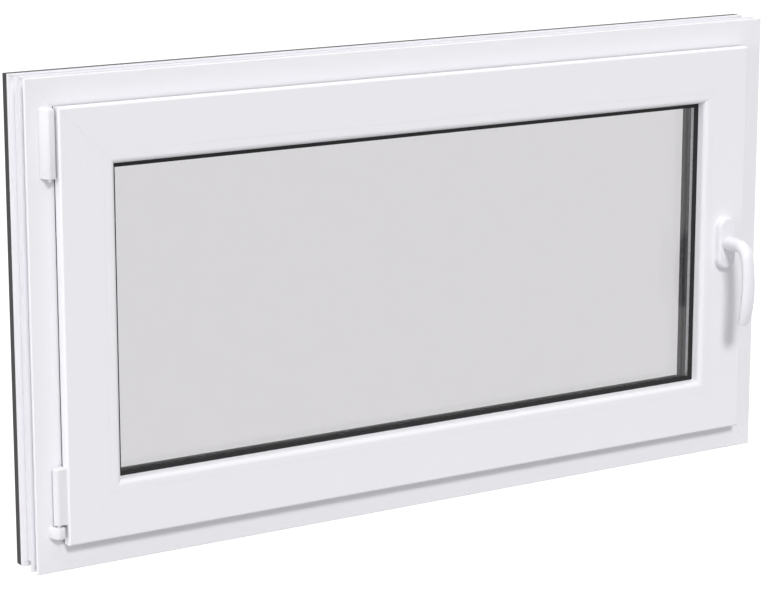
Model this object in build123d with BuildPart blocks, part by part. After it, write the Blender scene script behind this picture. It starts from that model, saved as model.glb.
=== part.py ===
from build123d import *
import os

os.makedirs("parts", exist_ok=True)

# Inward-opening tilt-and-turn attic window, seen shut. Sizes in mm.
# X runs along the width, Y from the room to the outdoors, Z up.
# A "margin" is measured inward from the outer edge of the frame, and a "depth"
# outward from the frame's room face, so pieces on the room side have a depth below 0.
frame_width = 1100
frame_height = 600
frame_depth = 58

# frame profile
rebate_margin = 43
upstand_margin = 64
upstand_depth = 16
upstand_bevel = 5
frame_corner_radius = 1.5
flange_depth = 3
narrow_groove_width = 13
narrow_groove_depth = 6
rib_width = 3
wide_groove_width = 22
wide_groove_depth = 7
groove_undercut = 0.8
groove_lip = 2

# hollow chambers, alike in frame and sash
profile_wall = 2.5
profile_web = 1.5
front_chamber_depth = 9.5
rear_chamber_depth = 8
land_chamber_depth = 8.5
land_chambers = 3
sash_front_chamber_depth = 6.5
sash_rear_chamber_depth = 7

# sash profile
overlap = 8
hardware_gap = 12
seal_gap = 3
sash_projection = 17
sash_face_width = 57
sash_corner_radius = 2.5
glazing_leg_height = 16
glazing_leg_bevel = 6
hardware_groove_width = 16
hardware_groove_depth = 3
hardware_groove_start = 9
foil_thickness = 0.6
foil_wrap = 11

# glazing
bead_flat_width = 8
bead_round_width = 7
bead_round_depth = 7
bead_depth = 13.5
bead_foot_depth = 3
bead_foot_width = 3
bead_foot_setback = 6
pane_thickness = 4
pane_gap = 16
pane_edge_clearance = 6
inner_gasket_thickness = 2.5
outer_gasket_thickness = 3
inner_gasket_lip = 4.2
outer_gasket_lip = 2
gasket_tip = 1.2
gasket_seat = 6
spacer_height = 7
spacer_setback = 3

# weather seals between frame and sash
seal_width = 4
seal_slot_depth = 2.5
seal_setback = 2.5

# hinges on the left edge
hinge_axis_margin = 25.5
hinge_barrel_radius = 6
hinge_pin_radius = 3
hinge_edge_radius = 1.6
hinge_plate_thickness = 2.5
upper_cap_height = 84
lower_bearing_bottom = 44
lower_bearing_height = 15
lower_bearing_bevel = 1.5
lower_sleeve_gap = 3
lower_sleeve_height = 70

# handle on the lock stile
handle_from_edge = 70
rosette_width = 30
rosette_height = 72
rosette_thickness = 11
rosette_edge_radius = 4.5
rosette_clearance = 0.3
neck_radius = 10
elbow_radius = 20
elbow_turn = 78
neck_length = 21
grip_bow_radius = 176
grip_bow_turn = 30
elbow_section = (9.5, 9)
grip_top_section = (9.5, 6.8)
grip_middle_section = (10.5, 6.2)
grip_tip_section = (9, 5)
tip_edge_radius = 2.5
spindle_side = 7
spindle_length = 32
spindle_hole_radius = 6.5
spindle_end_clearance = 3

# drainage covers on the outer face of the sill
drain_cap_width = 44
drain_cap_height = 15
drain_cap_thickness = 5
drain_cap_from_edge = 160
drain_cap_bevel = 2.5

# The origin lies under the sill, in the middle of the flat land that rests on the wall.
land_start = flange_depth + narrow_groove_width + rib_width + wide_groove_width
land_centre = (land_start + frame_depth) / 2

# places that follow from the sizes above
upstand_front = frame_depth - upstand_depth
sash_margin = rebate_margin - overlap
body_margin = rebate_margin + hardware_gap
bead_margin = sash_margin + sash_face_width
sight_margin = bead_margin + glazing_leg_height
sash_front = -sash_projection
sash_back = upstand_front - seal_gap
pane_margin = bead_margin + pane_edge_clearance
bead_back = sash_front + bead_depth
inner_pane_front = bead_back + inner_gasket_thickness
outer_pane_front = inner_pane_front + pane_thickness + pane_gap
outer_pane_back = outer_pane_front + pane_thickness
leg_front = outer_pane_back + outer_gasket_thickness


def depth_plane(depth):
    """A plane at a depth, facing the room, with its X along the width and its Y upward."""
    return Plane.XZ.offset(land_centre - depth)


def side_plane(side):
    """Plane at the end of a side: X runs inward from the outer edge, Y to the outdoors."""
    half = frame_width / 2
    ends = {
        "sill": ((half, 0), (0, 0, 1), (-1, 0, 0)),
        "head": ((-half, frame_height), (0, 0, -1), (1, 0, 0)),
        "left": ((-half, 0), (1, 0, 0), (0, 0, 1)),
        "right": ((half, frame_height), (-1, 0, 0), (0, 0, -1)),
    }
    (x, z), inward, along = ends[side]
    return Plane(origin=(x, -land_centre, z), x_dir=inward, z_dir=along)


def side_length(side):
    return frame_width if side in ("sill", "head") else frame_height


def mitre_outline(side):
    """The share of the window's face that belongs to one side, cut at 45 degrees."""
    half = frame_width / 2
    middle = frame_height / 2
    left_tip = (-half + middle, middle)
    right_tip = (half - middle, middle)
    outlines = {
        "sill": ((-half, 0), (half, 0), right_tip, left_tip),
        "head": ((half, frame_height), (-half, frame_height), left_tip, right_tip),
        "left": ((-half, frame_height), (-half, 0), left_tip),
        "right": ((half, 0), (half, frame_height), right_tip),
    }
    return outlines[side]


def mitred_bar(section, side):
    """Extrude a profile along one side and cut both ends to the mitre."""
    with BuildPart() as bar:
        with BuildSketch(side_plane(side)):
            add(section)
        extrude(amount=side_length(side))
        with BuildSketch(Plane.XZ):
            with BuildLine():
                Polyline(*mitre_outline(side), close=True)
            make_face()
        extrude(amount=frame_depth * 2, both=True, mode=Mode.INTERSECT)
    return bar.part


def export_bars(section, names):
    """One mitred bar for each side, each a piece of its own."""
    for side, name in names.items():
        with BuildPart() as bar:
            add(mitred_bar(section, side))
        bar.part.label = name
        export_step(bar.part, f"parts/{name}.step")


def hollow(*chambers):
    """Cut chambers, each given by its lowest and highest margin and depth, out of a profile."""
    for (low_margin, high_margin), (low_depth, high_depth) in chambers:
        with Locations((low_margin, low_depth)):
            Rectangle(
                high_margin - low_margin, high_depth - low_depth,
                align=(Align.MIN, Align.MIN), mode=Mode.SUBTRACT,
            )


def export_ring(section, name):
    """Four mitred bars welded at the corners into one ring."""
    with BuildPart() as ring:
        for side in ("sill", "right", "head", "left"):
            add(mitred_bar(section, side))
    ring.part.label = name
    export_step(ring.part, f"parts/{name}.step")


# Frame profile: an L with anchor grooves on its outer side and a seal slot in the upstand.
with BuildSketch() as frame_outline:
    with BuildLine():
        Polyline(
            (0, 0),
            (rebate_margin, 0),
            (rebate_margin, upstand_front),
            (upstand_margin, upstand_front),
            (upstand_margin, frame_depth - upstand_bevel),
            (upstand_margin - upstand_bevel, frame_depth),
            (0, frame_depth),
            close=True,
        )
    make_face()
    grooves = (
        (flange_depth, narrow_groove_width, narrow_groove_depth),
        (land_start - wide_groove_width, wide_groove_width, wide_groove_depth),
    )
    for start, width, depth in grooves:
        with Locations((0, start)):
            Rectangle(depth, width, align=(Align.MIN, Align.MIN), mode=Mode.SUBTRACT)
        with Locations((groove_lip, start - groove_undercut)):
            Rectangle(
                depth - groove_lip, width + 2 * groove_undercut,
                align=(Align.MIN, Align.MIN), mode=Mode.SUBTRACT,
            )
    front_corners = frame_outline.vertices().group_by(Axis.Y)[0]
    fillet(front_corners, frame_corner_radius)
    with Locations((upstand_margin - seal_setback, upstand_front)):
        Rectangle(
            seal_width, seal_slot_depth, align=(Align.MAX, Align.MIN), mode=Mode.SUBTRACT,
        )

# Dark foil wraps the outer face, the outer edge and the upstand.
with BuildSketch() as frame_foil:
    add(frame_outline.sketch)
    offset(amount=-foil_thickness, kind=Kind.INTERSECTION, mode=Mode.SUBTRACT)
    with BuildSketch(mode=Mode.PRIVATE) as foil_reach:
        with Locations((0, frame_depth)):
            Rectangle(upstand_margin, foil_wrap, align=(Align.MIN, Align.MAX))
        with Locations((upstand_margin, frame_depth)):
            Rectangle(
                seal_setback, upstand_depth, align=(Align.MAX, Align.MAX),
            )
    add(foil_reach.sketch, mode=Mode.INTERSECT)

# Chambers of the frame: three behind the grooves, the widest for the steel core, and a row
# along the outer face that reaches into the upstand.
groove_side = (wide_groove_depth + profile_wall, rebate_margin - profile_wall)
front_chamber_end = profile_wall + front_chamber_depth
land_row_end = frame_depth - profile_wall
land_row_start = land_row_end - land_chamber_depth
rear_chamber_end = land_row_start - profile_web
rear_chamber_start = rear_chamber_end - rear_chamber_depth
land_row_width = upstand_margin - upstand_bevel - 2 * profile_wall
land_chamber_pitch = (land_row_width + profile_web) / land_chambers

with BuildSketch() as frame_core:
    add(frame_outline.sketch)
    add(frame_foil.sketch, mode=Mode.SUBTRACT)
    hollow(
        (groove_side, (profile_wall, front_chamber_end)),
        (groove_side, (front_chamber_end + profile_web, rear_chamber_start - profile_web)),
        (groove_side, (rear_chamber_start, rear_chamber_end)),
    )
    for number in range(land_chambers):
        chamber_start = profile_wall + number * land_chamber_pitch
        chamber_end = chamber_start + land_chamber_pitch - profile_web
        hollow(((chamber_start, chamber_end), (land_row_start, land_row_end)))

export_bars(frame_core.sketch, {
    "sill": "frame_sill",
    "head": "frame_head",
    "left": "frame_hinge_jamb",
    "right": "frame_lock_jamb",
})
export_bars(frame_foil.sketch, {
    "sill": "frame_foil_sill",
    "head": "frame_foil_head",
    "left": "frame_foil_hinge_side",
    "right": "frame_foil_lock_side",
})

# Sash profile: a Z that overlaps the frame on the room side and holds the glass outside.
with BuildSketch() as sash_outline:
    with BuildLine():
        Polyline(
            (sash_margin, sash_front),
            (bead_margin, sash_front),
            (bead_margin, leg_front),
            (sight_margin, leg_front),
            (sight_margin, sash_back - glazing_leg_bevel),
            (sight_margin - glazing_leg_bevel, sash_back),
            (body_margin, sash_back),
            (body_margin, -seal_gap),
            (sash_margin, -seal_gap),
            close=True,
        )
    make_face()
    outer_front_corner = sash_outline.vertices().group_by(Axis.Y)[0].sort_by(Axis.X)[0]
    fillet(outer_front_corner, sash_corner_radius)
    with Locations((body_margin, hardware_groove_start)):
        Rectangle(
            hardware_groove_depth, hardware_groove_width,
            align=(Align.MIN, Align.MIN), mode=Mode.SUBTRACT,
        )
    with Locations((sash_margin + seal_setback, -seal_gap)):
        Rectangle(
            seal_width, seal_slot_depth, align=(Align.MIN, Align.MAX), mode=Mode.SUBTRACT,
        )
    with Locations((bead_margin, sash_front + bead_foot_setback)):
        Rectangle(
            bead_foot_depth, bead_foot_width, align=(Align.MAX, Align.MIN), mode=Mode.SUBTRACT,
        )

with BuildSketch() as sash_foil:
    add(sash_outline.sketch)
    offset(amount=-foil_thickness, kind=Kind.INTERSECTION, mode=Mode.SUBTRACT)
    with BuildSketch(mode=Mode.PRIVATE) as foil_reach:
        with Locations((sight_margin, sash_back)):
            Rectangle(
                sight_margin - body_margin - foil_thickness, glazing_leg_bevel,
                align=(Align.MAX, Align.MAX),
            )
            Rectangle(
                glazing_leg_bevel, sash_back - leg_front - foil_thickness,
                align=(Align.MAX, Align.MAX),
            )
    add(foil_reach.sketch, mode=Mode.INTERSECT)

# Chambers of the sash: one in the overlap, three in the body and one in the glazing leg.
body_side = (
    body_margin + hardware_groove_depth + profile_wall,
    bead_margin - bead_foot_depth - profile_wall,
)
sash_row_start = sash_front + profile_wall
sash_front_row_end = sash_row_start + sash_front_chamber_depth
sash_rear_row_end = sash_back - profile_wall
sash_rear_row_start = sash_rear_row_end - sash_rear_chamber_depth
overlap_side = (sash_margin + profile_wall, body_side[0] - profile_web)
leg_side = (body_side[1] + profile_web, sight_margin - glazing_leg_bevel - profile_web)

with BuildSketch() as sash_core:
    add(sash_outline.sketch)
    add(sash_foil.sketch, mode=Mode.SUBTRACT)
    hollow(
        (overlap_side, (sash_row_start, -seal_gap - seal_slot_depth - profile_wall)),
        (body_side, (sash_row_start, sash_front_row_end)),
        (body_side, (sash_front_row_end + profile_web, sash_rear_row_start - profile_web)),
        (body_side, (sash_rear_row_start, sash_rear_row_end)),
        (leg_side, (leg_front + profile_wall, sash_rear_row_end)),
    )

export_bars(sash_core.sketch, {
    "sill": "sash_bottom_rail",
    "head": "sash_top_rail",
    "left": "sash_hinge_stile",
})

# The lock stile is drilled for the handle's spindle.
handle_x = frame_width / 2 - handle_from_edge
handle_z = frame_height / 2
handle_centre = (handle_x, handle_z)
rosette_front = sash_front - rosette_thickness
lever_start = rosette_front - rosette_clearance
spindle_end = lever_start + spindle_length

with BuildPart() as sash_lock_stile:
    add(mitred_bar(sash_core.sketch, "right"))
    with BuildSketch(depth_plane(sash_front)):
        with Locations(handle_centre):
            Circle(spindle_hole_radius)
    extrude(amount=sash_front - spindle_end - spindle_end_clearance, mode=Mode.SUBTRACT)
sash_lock_stile.part.label = "sash_lock_stile"
export_step(sash_lock_stile.part, "parts/sash_lock_stile.step")

export_bars(sash_foil.sketch, {
    "sill": "sash_foil_bottom",
    "head": "sash_foil_top",
    "left": "sash_foil_hinge_side",
    "right": "sash_foil_lock_side",
})

# Glazing bead: flat beside the sash face, rounded, then steep down to the glass, with a clip
# foot.
with BuildSketch() as bead_section:
    with BuildLine():
        round_start = bead_margin + bead_flat_width
        round_back = sash_front + bead_round_depth
        Line((bead_margin, sash_front), (round_start, sash_front))
        EllipticalCenterArc(
            (round_start, round_back), bead_round_width, bead_round_depth,
            start_angle=270, arc_size=90,
        )
        Line((round_start + bead_round_width, round_back), (sight_margin, bead_back))
        Line((sight_margin, bead_back), (bead_margin, bead_back))
        Line((bead_margin, bead_back), (bead_margin, sash_front))
    make_face()
    with Locations((bead_margin, sash_front + bead_foot_setback)):
        Rectangle(bead_foot_depth, bead_foot_width, align=(Align.MAX, Align.MIN))

export_bars(bead_section.sketch, {
    "sill": "glazing_bead_bottom",
    "head": "glazing_bead_top",
    "left": "glazing_bead_hinge_side",
    "right": "glazing_bead_lock_side",
})

# Glazing gaskets and weather seals, each a ring. A glazing gasket thins out to the tip of its
# lip, which lies on the glass.
with BuildSketch() as inner_gasket:
    with BuildLine():
        Polyline(
            (sight_margin - gasket_seat, bead_back),
            (sight_margin, bead_back),
            (sight_margin + inner_gasket_lip, inner_pane_front - gasket_tip),
            (sight_margin + inner_gasket_lip, inner_pane_front),
            (sight_margin - gasket_seat, inner_pane_front),
            close=True,
        )
    make_face()
with BuildSketch() as outer_gasket:
    with BuildLine():
        Polyline(
            (sight_margin - gasket_seat, leg_front),
            (sight_margin, leg_front),
            (sight_margin + outer_gasket_lip, outer_pane_back + gasket_tip),
            (sight_margin + outer_gasket_lip, outer_pane_back),
            (sight_margin - gasket_seat, outer_pane_back),
            close=True,
        )
    make_face()
with BuildSketch() as frame_seal:
    with Locations((upstand_margin - seal_setback, sash_back)):
        Rectangle(
            seal_width, seal_gap + seal_slot_depth, align=(Align.MAX, Align.MIN),
        )
with BuildSketch() as sash_seal:
    with Locations((sash_margin + seal_setback, 0)):
        Rectangle(
            seal_width, seal_gap + seal_slot_depth, align=(Align.MIN, Align.MAX),
        )

export_ring(inner_gasket.sketch, "glass_gasket_inside")
export_ring(outer_gasket.sketch, "glass_gasket_outside")
export_ring(frame_seal.sketch, "frame_weather_seal")
export_ring(sash_seal.sketch, "sash_weather_seal")

# Double glazing: two panes held apart by a hollow spacer bar.
spacer_front = inner_pane_front + pane_thickness
spacer_margin = pane_margin + spacer_setback
with BuildSketch() as spacer_section:
    with Locations((spacer_margin, spacer_front)):
        Rectangle(spacer_height, pane_gap, align=(Align.MIN, Align.MIN))
export_ring(spacer_section.sketch, "glass_spacer")

pane_centre = (0, frame_height / 2)
pane_width = frame_width - 2 * pane_margin
pane_height = frame_height - 2 * pane_margin
for name, front in (("inner_pane", inner_pane_front), ("outer_pane", outer_pane_front)):
    with BuildPart() as pane:
        with BuildSketch(depth_plane(front + pane_thickness)):
            with Locations(pane_centre):
                Rectangle(pane_width, pane_height)
        extrude(amount=pane_thickness)
    pane.part.label = name
    export_step(pane.part, f"parts/{name}.step")

# Hinges. Their sections are drawn in plan, on the common turning axis.
hinge_x = hinge_axis_margin - frame_width / 2
hinge_reach = hinge_plate_thickness + hinge_barrel_radius
hinge_y = -hinge_reach - land_centre
face_y = -land_centre
sash_edge_x = sash_margin - frame_width / 2
sash_top = frame_height - sash_margin
upper_cap_bottom = sash_top - upper_cap_height

with BuildPart() as upper_hinge_cap:
    with BuildSketch(Plane.XY.offset(upper_cap_bottom)):
        with Locations((hinge_x, hinge_y)):
            Circle(hinge_barrel_radius)
            Rectangle(
                2 * hinge_barrel_radius, hinge_barrel_radius, align=(Align.CENTER, Align.MIN),
            )
    extrude(amount=upper_cap_height)
    upper_ends = upper_hinge_cap.edges().filter_by(Axis.Z, reverse=True)
    top_edges = upper_ends.group_by(Axis.Z)[-1]
    fillet(top_edges, hinge_edge_radius)
    with BuildSketch(Plane.XY.offset(upper_cap_bottom)):
        with Locations((hinge_x, hinge_y)):
            Circle(hinge_pin_radius)
    extrude(amount=upper_cap_height - hinge_edge_radius * 2, mode=Mode.SUBTRACT)
upper_hinge_cap.part.label = "upper_hinge_cap"
export_step(upper_hinge_cap.part, "parts/upper_hinge_cap.step")

with BuildPart() as upper_hinge_plate:
    with BuildSketch(Plane.XY.offset(upper_cap_bottom)):
        with Locations((hinge_x, face_y)):
            Rectangle(
                2 * hinge_barrel_radius, hinge_plate_thickness, align=(Align.CENTER, Align.MAX),
            )
    extrude(amount=upper_cap_height)
upper_hinge_plate.part.label = "upper_hinge_plate"
export_step(upper_hinge_plate.part, "parts/upper_hinge_plate.step")

with BuildPart() as upper_hinge_pin:
    with BuildSketch(Plane.XY.offset(upper_cap_bottom - hinge_pin_radius)):
        with Locations((hinge_x, hinge_y)):
            Circle(hinge_pin_radius)
    extrude(amount=upper_cap_height - hinge_edge_radius * 2)
upper_hinge_pin.part.label = "upper_hinge_pin"
export_step(upper_hinge_pin.part, "parts/upper_hinge_pin.step")

bearing_top = lower_bearing_bottom + lower_bearing_height
sleeve_bottom = bearing_top + lower_sleeve_gap

with BuildPart() as lower_hinge_bearing:
    with BuildSketch(Plane.XY.offset(lower_bearing_bottom)):
        with Locations((hinge_x, hinge_y)):
            Circle(hinge_barrel_radius)
            Rectangle(
                2 * hinge_barrel_radius, hinge_reach, align=(Align.CENTER, Align.MIN),
            )
    extrude(amount=lower_bearing_height)
    bearing_rim = lower_hinge_bearing.edges().group_by(Axis.Z)[-1]
    chamfer(bearing_rim, lower_bearing_bevel)
    with BuildSketch(Plane.XY.offset(bearing_top)):
        with Locations((hinge_x, hinge_y)):
            Circle(hinge_pin_radius)
    extrude(amount=-lower_bearing_height / 2, mode=Mode.SUBTRACT)
lower_hinge_bearing.part.label = "lower_hinge_bearing"
export_step(lower_hinge_bearing.part, "parts/lower_hinge_bearing.step")

with BuildPart() as lower_hinge_sleeve:
    with BuildSketch(Plane.XY.offset(sleeve_bottom)):
        with Locations((hinge_x, hinge_y)):
            Circle(hinge_barrel_radius)
            Rectangle(
                sash_edge_x - hinge_x, 2 * hinge_barrel_radius, align=(Align.MIN, Align.CENTER),
            )
    extrude(amount=lower_sleeve_height)
    sleeve_rim = lower_hinge_sleeve.edges().group_by(Axis.Z)[-1]
    fillet(sleeve_rim, hinge_edge_radius)
    with BuildSketch(Plane.XY.offset(sleeve_bottom)):
        with Locations((hinge_x, hinge_y)):
            Circle(hinge_pin_radius)
    extrude(amount=lower_sleeve_height / 2, mode=Mode.SUBTRACT)
lower_hinge_sleeve.part.label = "lower_hinge_sleeve"
export_step(lower_hinge_sleeve.part, "parts/lower_hinge_sleeve.step")

with BuildPart() as lower_hinge_pin:
    with BuildSketch(Plane.XY.offset(bearing_top - lower_bearing_height / 2)):
        with Locations((hinge_x, hinge_y)):
            Circle(hinge_pin_radius)
    extrude(amount=lower_bearing_height / 2 + lower_sleeve_gap + lower_sleeve_height / 2)
lower_hinge_pin.part.label = "lower_hinge_pin"
export_step(lower_hinge_pin.part, "parts/lower_hinge_pin.step")

# Handle: an oval rosette, and a lever that leaves it, turns down and bows outward.
with BuildPart() as handle_rosette:
    with BuildSketch(depth_plane(sash_front)):
        with Locations(handle_centre):
            SlotOverall(rosette_height, rosette_width, rotation=90)
    extrude(amount=rosette_thickness)
    fillet(handle_rosette.faces().sort_by(Axis.Y)[0].edges(), rosette_edge_radius)
    with BuildSketch(depth_plane(sash_front)):
        with Locations(handle_centre):
            Circle(spindle_hole_radius)
    extrude(amount=rosette_thickness, mode=Mode.SUBTRACT)
handle_rosette.part.label = "handle_rosette"
export_step(handle_rosette.part, "parts/handle_rosette.step")

lever_plane = Plane(origin=(handle_x, -land_centre, handle_z), x_dir=(0, 1, 0), z_dir=(1, 0, 0))
with BuildPart() as handle_lever:
    with BuildLine(lever_plane) as lever_path:
        neck = Line((lever_start, 0), (lever_start - neck_length, 0))
        elbow = JernArc(neck @ 1, (-1, 0), elbow_radius, elbow_turn)
        bow = JernArc(elbow @ 1, elbow % 1, grip_bow_radius, grip_bow_turn)
    stations = (
        (neck, 0, (neck_radius, neck_radius)),
        (elbow, 0, elbow_section),
        (bow, 0, grip_top_section),
        (bow, 0.5, grip_middle_section),
        (bow, 1, grip_tip_section),
    )
    for curve, share, (across, through) in stations:
        heading = curve % share
        with BuildSketch(Plane(origin=curve @ share, x_dir=(1, 0, 0), z_dir=heading)):
            Ellipse(across, through)
    sweep(path=lever_path.wires()[0], multisection=True)
    tip_edge = handle_lever.faces().sort_by(Axis.Z)[0].edges()
    fillet(tip_edge, tip_edge_radius)
handle_lever.part.label = "handle_lever"
export_step(handle_lever.part, "parts/handle_lever.step")

with BuildPart() as handle_spindle:
    with BuildSketch(depth_plane(lever_start)):
        with Locations(handle_centre):
            Rectangle(spindle_side, spindle_side)
    extrude(amount=-spindle_length)
handle_spindle.part.label = "handle_spindle"
export_step(handle_spindle.part, "parts/handle_spindle.step")

# Covers over the drainage slots, low on the outer face.
for name, direction in (("drain_cap_left", -1), ("drain_cap_right", 1)):
    with BuildPart() as drain_cap:
        with BuildSketch(depth_plane(frame_depth)):
            with Locations((
                direction * (frame_width / 2 - drain_cap_from_edge), upstand_margin / 2,
            )):
                Rectangle(drain_cap_width, drain_cap_height)
        extrude(amount=-drain_cap_thickness)
        chamfer(drain_cap.faces().sort_by(Axis.Y)[-1].edges(), drain_cap_bevel)
    drain_cap.part.label = name
    export_step(drain_cap.part, f"parts/{name}.step")
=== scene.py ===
import math

import bpy
from mathutils import Euler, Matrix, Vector


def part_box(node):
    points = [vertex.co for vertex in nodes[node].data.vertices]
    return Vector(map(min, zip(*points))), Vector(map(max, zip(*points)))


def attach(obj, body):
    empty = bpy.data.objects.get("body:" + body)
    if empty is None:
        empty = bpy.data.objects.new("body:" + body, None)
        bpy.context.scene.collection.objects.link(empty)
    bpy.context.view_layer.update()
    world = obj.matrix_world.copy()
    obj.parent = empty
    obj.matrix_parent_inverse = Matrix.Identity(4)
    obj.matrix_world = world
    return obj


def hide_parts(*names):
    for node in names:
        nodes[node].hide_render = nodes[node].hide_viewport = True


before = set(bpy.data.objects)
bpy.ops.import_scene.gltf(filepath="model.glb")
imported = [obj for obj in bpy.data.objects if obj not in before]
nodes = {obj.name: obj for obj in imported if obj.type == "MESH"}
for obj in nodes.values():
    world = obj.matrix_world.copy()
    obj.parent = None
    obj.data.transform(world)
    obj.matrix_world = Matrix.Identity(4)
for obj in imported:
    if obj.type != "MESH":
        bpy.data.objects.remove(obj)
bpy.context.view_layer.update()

print("frame loaded,", len(nodes), "pieces")


# small helpers for building node trees; every length is in metres

def newMaterial(name):
    material = bpy.data.materials.new(name)
    material.use_nodes = True
    tree = material.node_tree
    return material, tree, tree.nodes["Principled BSDF"]


def addNode(tree, kind, **values):
    node = tree.nodes.new(kind)
    for key, value in values.items():
        setattr(node, key, value)
    return node


def mathNode(tree, kind, first, second=0.0):
    # one sum in the node tree; each input is a number or a socket
    node = addNode(tree, "ShaderNodeMath", operation=kind)
    for socket, value in zip(node.inputs, (first, second)):
        if isinstance(value, (int, float)):
            socket.default_value = value
        else:
            tree.links.new(value, socket)
    return node.outputs[0]


def objectNoise(tree, settings, stretch=(1, 1, 1)):
    # a grain from 0 to 1 that is fixed to the object
    place = addNode(tree, "ShaderNodeTexCoord")
    mapping = addNode(tree, "ShaderNodeMapping")
    mapping.inputs["Scale"].default_value = stretch
    noise = addNode(tree, "ShaderNodeTexNoise")
    noise.inputs["Scale"].default_value = settings["grainScale"]
    noise.inputs["Detail"].default_value = settings["detail"]
    noise.inputs["Roughness"].default_value = settings.get("grainRoughness", 0.5)
    tree.links.new(place.outputs["Object"], mapping.inputs["Vector"])
    tree.links.new(mapping.outputs["Vector"], noise.inputs["Vector"])
    return noise.outputs["Fac"]


def spread(tree, value, low, high):
    # maps a 0 to 1 value to a narrower range
    ranger = addNode(tree, "ShaderNodeMapRange")
    ranger.inputs["To Min"].default_value = low
    ranger.inputs["To Max"].default_value = high
    tree.links.new(value, ranger.inputs["Value"])
    return ranger.outputs["Result"]


def blendColours(tree, factor, first, second):
    mixer = addNode(tree, "ShaderNodeMix", data_type="RGBA")
    tree.links.new(factor, mixer.inputs["Factor"])
    mixer.inputs["A"].default_value = (*first, 1)
    mixer.inputs["B"].default_value = (*second, 1)
    return mixer.outputs["Result"]


def fineBump(tree, shader, height, settings):
    # a bump from any height socket, over edges that are rounded where an edge radius is set
    strength, distance = settings["bump"]
    bump = addNode(tree, "ShaderNodeBump")
    bump.inputs["Strength"].default_value = strength
    bump.inputs["Distance"].default_value = distance
    tree.links.new(height, bump.inputs["Height"])
    if "edge" in settings:
        rounded = addNode(tree, "ShaderNodeBevel", samples=6)
        rounded.inputs["Radius"].default_value = settings["edge"]
        tree.links.new(rounded.outputs["Normal"], bump.inputs["Normal"])
    tree.links.new(bump.outputs["Normal"], shader.inputs["Normal"])


def grainedFinish(name, settings, drawnAlong=""):
    # one grain varies the colour and the bump, and the roughness where a range is set; on an
    # extruded bar it is drawn out along X or Z
    material, tree, shader = newMaterial(name)
    stretch = settings.get("stretch", (1, 1, 1))
    if drawnAlong:
        stretch = [settings["drawn"] if axis == drawnAlong else 1 for axis in "XYZ"]
    grain = objectNoise(tree, settings, stretch)
    colour = blendColours(tree, grain, settings["light"], settings["dark"])
    tree.links.new(colour, shader.inputs["Base Color"])
    if "roughness" in settings:
        low, high = settings["roughness"]
        tree.links.new(spread(tree, grain, low, high), shader.inputs["Roughness"])
    for socket, value in settings.get("sockets", {}).items():
        shader.inputs[socket].default_value = value
    fineBump(tree, shader, grain, settings)
    return material


def dress(names, material):
    for name in names:
        mesh = nodes[name].data
        mesh.materials.clear()
        mesh.materials.append(material)


# helpers for things built as meshes

def addObject(name, points, faces, material):
    mesh = bpy.data.meshes.new(name)
    mesh.from_pydata(points, [], faces)
    mesh.materials.append(material)
    thing = bpy.data.objects.new(name, mesh)
    bpy.context.scene.collection.objects.link(thing)
    return thing


def bandFaces(here, there, count):
    # the quads between two loops of points; here and there are their first points' numbers
    faces = []
    for i in range(count):
        j = (i + 1) % count
        faces.append((here + i, here + j, there + j, there + i))
    return faces


# white window plastic: smooth, faintly streaked along the bar by the extruder

whitePlastic = {
    "light": (0.878, 0.870, 0.905),
    "dark": (0.862, 0.854, 0.892),
    "roughness": (0.42, 0.52),
    "grainScale": 270.0,
    "detail": 4.0,
    "drawn": 1 / 60,
    "bump": (0.05, 0.0004),
    "edge": 0.0006,
    "sockets": {"Specular IOR Level": 0.3},
}

dress(["frame_sill", "frame_head", "sash_bottom_rail", "sash_top_rail", "glazing_bead_bottom",
       "glazing_bead_top"],
      grainedFinish("white plastic, level bars", whitePlastic, "X"))
dress(["frame_hinge_jamb", "frame_lock_jamb", "sash_hinge_stile", "sash_lock_stile",
       "glazing_bead_hinge_side", "glazing_bead_lock_side"],
      grainedFinish("white plastic, upright bars", whitePlastic, "Z"))

# hinge parts: the same white plastic, in a copy painted a shade darker as painted shade, so that
# they don't look brighter than the frame beside them

shadedHingeWhite = {
    **whitePlastic,
    "light": (0.805, 0.798, 0.828),
    "dark": (0.790, 0.783, 0.814),
}

shadedHingePlastic = grainedFinish("white hinge plastic, painted darker", shadedHingeWhite, "Z")
dress(["upper_hinge_cap", "lower_hinge_sleeve", "lower_hinge_bearing"], shadedHingePlastic)

# covers of the hinge parts on the frame: each swells from the frame and drops off beside the sash

upperCover = {
    "stands for": ("upper_hinge_cap", "upper_hinge_plate"),
    "foot": 0.0030,  # left of the node's box
    "sashGap": 0.0009,
    "height": 0.0125,  # above the frame
    "swell": 0.7,
    "corner": 0.5,
    # levels of each end: how far from the end, and how much the cover draws in there
    "bottomEnd": ((0.0, 0.0010), (0.0004, 0.0003), (0.0012, 0.0)),
    "topEnd": ((0.0050, 0.0), (0.0025, 0.0006), (0.0010, 0.0016), (0.0, 0.0034)),
}
lowerCover = {
    "stands for": ("lower_hinge_bearing",),
    "foot": 0.0035,
    "sashGap": 0.0019,
    "height": 0.0142,
    "swell": 0.35,
    "corner": 0.4,
    "bottomEnd": ((0.0, 0.0012), (0.0005, 0.0004), (0.0014, 0.0)),
    "topEnd": ((0.0016, 0.0), (0.0006, 0.0004), (0.0, 0.0013)),
}
coverSteps = 20
coverSharpFrom = 42.0


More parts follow.
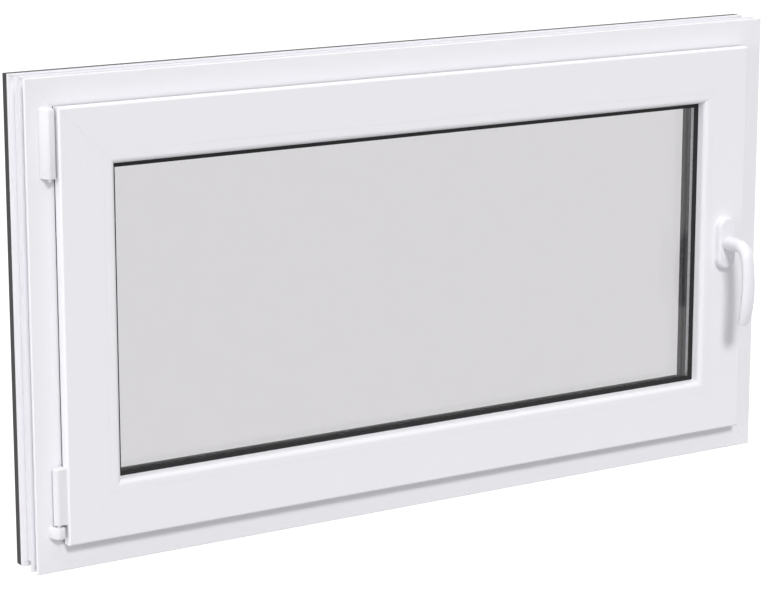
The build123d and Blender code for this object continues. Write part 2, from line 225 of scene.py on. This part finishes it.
def coverSection(settings):
    # points (X, height above the frame) from the foot, over the top, to the side by the sash
    low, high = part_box(settings["stands for"][0])
    foot = low[0] - settings["foot"]
    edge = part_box("sash_hinge_stile")[0][0] - settings["sashGap"]
    middle = (low[0] + high[0]) / 2
    section = []
    for i in range(coverSteps):
        share = i / coverSteps
        rise = (0.5 - 0.5 * math.cos(math.pi * share)) ** settings["swell"]
        section.append((foot + (middle - foot) * share, settings["height"] * rise))
    for i in range(coverSteps + 1):
        angle = math.pi / 2 * (1 - i / coverSteps)
        across = math.cos(angle) ** settings["corner"]
        rise = math.sin(angle) ** settings["corner"]
        section.append((middle + (edge - middle) * across, settings["height"] * rise))
    return section


def makeCover(name, settings):
    section = coverSection(settings)
    count = len(section)
    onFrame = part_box("upper_hinge_plate")[1][1]
    low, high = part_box(settings["stands for"][0])
    left, right = section[0][0], section[-1][0]
    middle, halfWidth = (left + right) / 2, (right - left) / 2
    levels = [(low[2] + z, inset) for z, inset in settings["bottomEnd"]]
    levels += [(high[2] - z, inset) for z, inset in settings["topEnd"]]
    points = []
    for z, inset in levels:
        wide = 1 - inset / halfWidth
        tall = 1 - inset / settings["height"]
        points += [(middle + (x - middle) * wide, onFrame - rise * tall, z)
                   for x, rise in section]
    last = (len(levels) - 1) * count
    faces = []
    for here in range(0, last, count):
        faces += bandFaces(here, here + count, count)
    faces.append(tuple(range(count - 1, -1, -1)))
    faces.append(tuple(range(last, last + count)))
    # the covers take the copy of the white plastic that is painted darker as painted shade
    cover = addObject(name, points, faces, shadedHingePlastic)
    cover.data.shade_smooth()
    cover.data.set_sharp_from_angle(angle=math.radians(coverSharpFrom))
    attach(cover, "window")
    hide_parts(*settings["stands for"])


makeCover("upper_hinge_cover", upperCover)
makeCover("lower_hinge_cover", lowerCover)
print("hinge covers done")

# dark foil outside: matt, embossed with a fine grain

darkFoil = {
    "light": (0.025, 0.021, 0.025),
    "dark": (0.017, 0.014, 0.017),
    "roughness": (0.42, 0.58),
    "grainScale": 900.0,
    "detail": 3.0,
    "grainRoughness": 0.6,
    "drawn": 0.12,
    "bump": (0.25, 0.0003),
    "edge": 0.0005,
    "sockets": {"Specular IOR Level": 0.25},
}

dress(["frame_foil_sill", "frame_foil_head", "sash_foil_bottom", "sash_foil_top"],
      grainedFinish("dark foil, level bars", darkFoil, "X"))
dress(["frame_foil_hinge_side", "frame_foil_lock_side", "sash_foil_hinge_side",
       "sash_foil_lock_side"],
      grainedFinish("dark foil, upright bars", darkFoil, "Z"))

# black rubber gaskets and seals

blackRubber = {
    "light": (0.014, 0.014, 0.015),
    "dark": (0.008, 0.008, 0.009),
    "roughness": (0.50, 0.70),
    "grainScale": 500.0,
    "detail": 2.0,
    "bump": (0.15, 0.0002),
    "sockets": {"Specular IOR Level": 0.25},
}

rubber = grainedFinish("black rubber", blackRubber)
dress(["glass_gasket_inside", "glass_gasket_outside", "frame_weather_seal", "sash_weather_seal"],
      rubber)

# thin rubber lips: one of the inside gasket, flat on the glass all round, and one of the sash
# seal, which shows as a dark line between sash and frame

gasketLip = {
    "root": 0.0102,  # from the gasket's outer edge
    "reach": 0.0014,
    "rootThickness": 0.0012,
    "tipThickness": 0.0004,
    "lift": 0.00002,
}
sealLip = {
    "reach": 0.0022,
    "gap": 0.003,  # between sash and frame
    "bevel": 0.0002,
    "clearance": 0.00005,
}


def makeRing(name, node, section):
    # a mitred ring round a node's box; the section's points are (inset from the box, Y), taken
    # anticlockwise
    low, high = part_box(node)
    points = []
    for x, inX, z, inZ in ((low[0], 1, low[2], 1), (high[0], -1, low[2], 1),
                           (high[0], -1, high[2], -1), (low[0], 1, high[2], -1)):
        points += [(x + inX * inset, y, z + inZ * inset) for inset, y in section]
    count = len(section)
    faces = []
    for corner in range(4):
        faces += bandFaces((corner + 1) % 4 * count, corner * count, count)
    ring = addObject(name, points, faces, rubber)
    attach(ring, "window")


def makeGasketLip():
    settings = gasketLip
    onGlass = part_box("glass_gasket_inside")[1][1] - settings["lift"]
    root, tip = settings["root"], settings["root"] + settings["reach"]
    makeRing("gasket_lip", "glass_gasket_inside", [
        (root, onGlass - settings["rootThickness"]),
        (tip, onGlass - settings["tipThickness"]),
        (tip, onGlass),
        (root, onGlass),
    ])


def makeSealLip():
    settings = sealLip
    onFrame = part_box("sash_weather_seal")[1][1] - settings["clearance"]
    underSash = onFrame - settings["gap"] + 2 * settings["clearance"]
    makeRing("seal_lip", "sash_weather_seal", [
        (-settings["reach"], underSash + settings["bevel"]),
        (0, underSash),
        (0, onFrame),
        (-settings["reach"], onFrame),
    ])


makeGasketLip()
makeSealLip()
print("rubber lips done")

# spacer between the panes: an aluminium bar with a row of small round holes drawn as black dots,
# coloured black over its outdoor half

spacerBar = {
    "light": (0.93, 0.93, 0.95),
    "dark": (0.84, 0.84, 0.86),
    "outdoorBlack": (0.007, 0.007, 0.008),
    "roughness": 0.34,
    "metallic": 0.35,
    "grainScale": 600.0,
    "detail": 2.0,
    "stretch": (0.3, 1, 0.3),
    "bump": (0.1, 0.0002),
    "metalFrom": -0.0465,  # Y of the metal's two edges
    "metalTo": -0.0365,
    "blend": 0.0004,
    "holePitch": 0.008,
    "holeRadius": 0.0006,
}


def spacerMaterial():
    settings = spacerBar
    material, tree, shader = newMaterial("spacer aluminium, black outdoor half")
    brushed = objectNoise(tree, settings, settings["stretch"])
    metal = blendColours(tree, brushed, settings["light"], settings["dark"])

    place = addNode(tree, "ShaderNodeTexCoord")
    apart = addNode(tree, "ShaderNodeSeparateXYZ")
    tree.links.new(place.outputs["Object"], apart.inputs[0])
    surface = addNode(tree, "ShaderNodeNewGeometry")
    facing = addNode(tree, "ShaderNodeSeparateXYZ")
    tree.links.new(surface.outputs["Normal"], facing.inputs[0])

    # distance along the bar: Z on the upright bars, whose inner face looks sideways, else X
    sideways = mathNode(tree, "ABSOLUTE", facing.outputs["X"])
    upright = mathNode(tree, "GREATER_THAN", sideways, 0.5)
    along = addNode(tree, "ShaderNodeMix", data_type="FLOAT")
    tree.links.new(upright, along.inputs["Factor"])
    tree.links.new(apart.outputs["X"], along.inputs["A"])
    tree.links.new(apart.outputs["Z"], along.inputs["B"])

    # round holes on the middle line of the metal
    pitch = settings["holePitch"]
    middle = (settings["metalFrom"] + settings["metalTo"]) / 2
    turns = mathNode(tree, "DIVIDE", along.outputs["Result"], pitch)
    step = mathNode(tree, "SUBTRACT", mathNode(tree, "FRACT", turns), 0.5)
    reach = mathNode(tree, "MULTIPLY", step, pitch)
    across = mathNode(tree, "SUBTRACT", apart.outputs["Y"], middle)
    squares = [mathNode(tree, "POWER", part, 2.0) for part in (reach, across)]
    distance = mathNode(tree, "SQRT", mathNode(tree, "ADD", *squares))
    hole = mathNode(tree, "LESS_THAN", distance, settings["holeRadius"])

    # black over the outdoor half of the bar, from metalTo outwards
    outdoorBlack = addNode(tree, "ShaderNodeMapRange", interpolation_type="SMOOTHSTEP")
    outdoorBlack.inputs["From Min"].default_value = settings["metalTo"]
    outdoorBlack.inputs["From Max"].default_value = settings["metalTo"] + settings["blend"]
    tree.links.new(apart.outputs["Y"], outdoorBlack.inputs["Value"])
    covered = mathNode(tree, "MAXIMUM", outdoorBlack.outputs["Result"], hole)
    mixer = addNode(tree, "ShaderNodeMix", data_type="RGBA")
    tree.links.new(covered, mixer.inputs["Factor"])
    tree.links.new(metal, mixer.inputs["A"])
    mixer.inputs["B"].default_value = (*settings["outdoorBlack"], 1)
    tree.links.new(mixer.outputs["Result"], shader.inputs["Base Color"])
    tree.links.new(spread(tree, covered, settings["metallic"], 0.0), shader.inputs["Metallic"])
    shader.inputs["Roughness"].default_value = settings["roughness"]
    fineBump(tree, shader, brushed, settings)
    return material


dress(["glass_spacer"], spacerMaterial())

# clear glass, each pane slightly tinted through its thickness

clearGlass = {
    "colour": (0.745, 0.737, 0.748),
    "ior": 1.5,
    "roughness": 0.0,
    "grainScale": 3.0,  # broad, faint waves
    "detail": 1.0,
    "bump": (0.01, 0.0002),
}


def clearGlassMaterial():
    settings = clearGlass
    material, tree, shader = newMaterial("clear glass")
    shader.inputs["Base Color"].default_value = (*settings["colour"], 1)
    shader.inputs["Transmission Weight"].default_value = 1.0
    shader.inputs["IOR"].default_value = settings["ior"]
    shader.inputs["Roughness"].default_value = settings["roughness"]
    fineBump(tree, shader, objectNoise(tree, settings), settings)
    return material


dress(["inner_pane", "outer_pane"], clearGlassMaterial())

# handle and rosette: a smooth white coating

whiteCoat = {
    "light": (0.828, 0.824, 0.872),
    "dark": (0.818, 0.814, 0.862),
    "roughness": (0.24, 0.32),
    "grainScale": 1200.0,
    "detail": 2.0,
    "bump": (0.04, 0.0002),
    "edge": 0.0005,
    "sockets": {"Coat Weight": 0.12, "Coat Roughness": 0.12},
}

dress(["handle_lever", "handle_rosette"], grainedFinish("white handle coat", whiteCoat))

# zinc-plated steel of the pins, plate and spindle

zincSteel = {
    "light": (0.62, 0.62, 0.63),
    "dark": (0.50, 0.50, 0.52),
    "roughness": (0.28, 0.42),
    "grainScale": 700.0,
    "detail": 3.0,
    "stretch": (1, 1, 0.1),
    "bump": (0.1, 0.0002),
    "sockets": {"Metallic": 1.0},
}

dress(["upper_hinge_plate", "upper_hinge_pin", "lower_hinge_pin", "handle_spindle"],
      grainedFinish("zinc-plated steel", zincSteel))

# drainage covers: dark moulded plastic

darkMoulding = {
    "light": (0.055, 0.054, 0.057),
    "dark": (0.044, 0.043, 0.046),
    "grainScale": 1500.0,
    "detail": 2.0,
    "bump": (0.2, 0.0002),
    "edge": 0.0004,
    "sockets": {"Roughness": 0.5},
}

dress(["drain_cap_left", "drain_cap_right"], grainedFinish("dark moulded plastic", darkMoulding))
print("finishes done")

# pale floor and white surroundings

surroundings = {
    "floorDrop": 0.55,
    "floorReach": 14.0,
    "floorGlow": 0.86,
    "floorWhite": (0.30, 0.30, 0.30),  # as the camera sees it, beside its glow
    "floorBounce": (0.50, 0.50, 0.50),  # as it lights the window
    "floorRoughness": 0.9,
    "skyLight": 0.30,
    "skyShown": 1.17,
}


def seenDirectly(tree):
    # 1 for what the camera sees, also in a reflection or through glass
    ray = addNode(tree, "ShaderNodeLightPath").outputs
    either = mathNode(tree, "MAXIMUM", ray["Is Camera Ray"], ray["Is Glossy Ray"])
    return mathNode(tree, "MAXIMUM", either, ray["Is Transmission Ray"])


def makeFloor():
    settings = surroundings
    material, tree, shader = newMaterial("pale floor")
    shader.inputs["Base Color"].default_value = (*settings["floorBounce"], 1)
    shader.inputs["Roughness"].default_value = settings["floorRoughness"]
    shadow = addNode(tree, "ShaderNodeBsdfDiffuse")
    shadow.inputs["Color"].default_value = (*settings["floorWhite"], 1)
    glow = addNode(tree, "ShaderNodeEmission")
    glow.inputs["Strength"].default_value = settings["floorGlow"]
    both = addNode(tree, "ShaderNodeAddShader")
    choice = addNode(tree, "ShaderNodeMixShader")
    tree.links.new(shadow.outputs[0], both.inputs[0])
    tree.links.new(glow.outputs[0], both.inputs[1])
    tree.links.new(seenDirectly(tree), choice.inputs["Fac"])
    tree.links.new(shader.outputs[0], choice.inputs[1])
    tree.links.new(both.outputs[0], choice.inputs[2])
    tree.links.new(choice.outputs[0], tree.nodes["Material Output"].inputs["Surface"])
    reach = settings["floorReach"]
    corners = [(-reach, -reach), (reach, -reach), (reach, reach), (-reach, reach)]
    points = [(x, y, -settings["floorDrop"]) for x, y in corners]
    floor = addObject("floor", points, [(0, 1, 2, 3)], material)


def makeSky():
    settings = surroundings
    world = bpy.data.worlds.new("white surroundings")
    world.use_nodes = True
    bpy.context.scene.world = world
    tree = world.node_tree
    lamp = tree.nodes["Background"]
    shown = addNode(tree, "ShaderNodeBackground")
    for background, strength in ((lamp, settings["skyLight"]), (shown, settings["skyShown"])):
        background.inputs["Color"].default_value = (1, 1, 1, 1)
        background.inputs["Strength"].default_value = strength
    choice = addNode(tree, "ShaderNodeMixShader")
    tree.links.new(seenDirectly(tree), choice.inputs["Fac"])
    tree.links.new(lamp.outputs[0], choice.inputs[1])
    tree.links.new(shown.outputs[0], choice.inputs[2])
    tree.links.new(choice.outputs[0], tree.nodes["World Output"].inputs["Surface"])


makeFloor()
makeSky()
print("floor and sky done")

# even studio light: a soft key high on the left of the room side, and broad fills from both
# sides and from above

softLamps = {
    "key light": {"towards": (-0.30, -1.0, 0.84), "angle": 13.0, "strength": 1.63},
    "left fill": {"towards": (-1.0, -0.05, 0.15), "angle": 50.0, "strength": 1.62},
    "right fill": {"towards": (1.0, 0.05, 0.15), "angle": 50.0, "strength": 0.35},
    "top fill": {"towards": (0.0, -0.05, 1.0), "angle": 60.0, "strength": 1.05},
}


def makeLamp(name, settings):
    data = bpy.data.lights.new(name, "SUN")
    data.angle = math.radians(settings["angle"])
    data.energy = settings["strength"]
    lamp = bpy.data.objects.new(name, data)
    lamp.rotation_euler = Vector(settings["towards"]).to_track_quat("Z", "Y").to_euler()
    lamp.visible_camera = False
    lamp.visible_glossy = name == "key light"
    lamp.visible_transmission = False
    bpy.context.scene.collection.objects.link(lamp)


for name, settings in softLamps.items():
    makeLamp(name, settings)
print("lamps done")

# the photograph's viewpoint, found from its vanishing points

photoCamera = {
    "place": (-1.879, -2.914, 1.041),
    "yaw": 32.44,
    "pitch": 12.60,
    "lens": 128.33,
    "sensorWidth": 36.0,
}


def makeCamera():
    settings = photoCamera
    data = bpy.data.cameras.new("photo camera")
    data.sensor_width = settings["sensorWidth"]
    data.lens = settings["lens"]
    camera = bpy.data.objects.new("photo camera", data)
    camera.location = settings["place"]
    tilt = math.radians(90 - settings["pitch"])
    turn = math.radians(-settings["yaw"])
    camera.rotation_euler = Euler((tilt, 0, turn))
    bpy.context.scene.collection.objects.link(camera)
    bpy.context.scene.camera = camera


makeCamera()
bpy.context.scene.view_settings.view_transform = "Standard"

print("scene done")
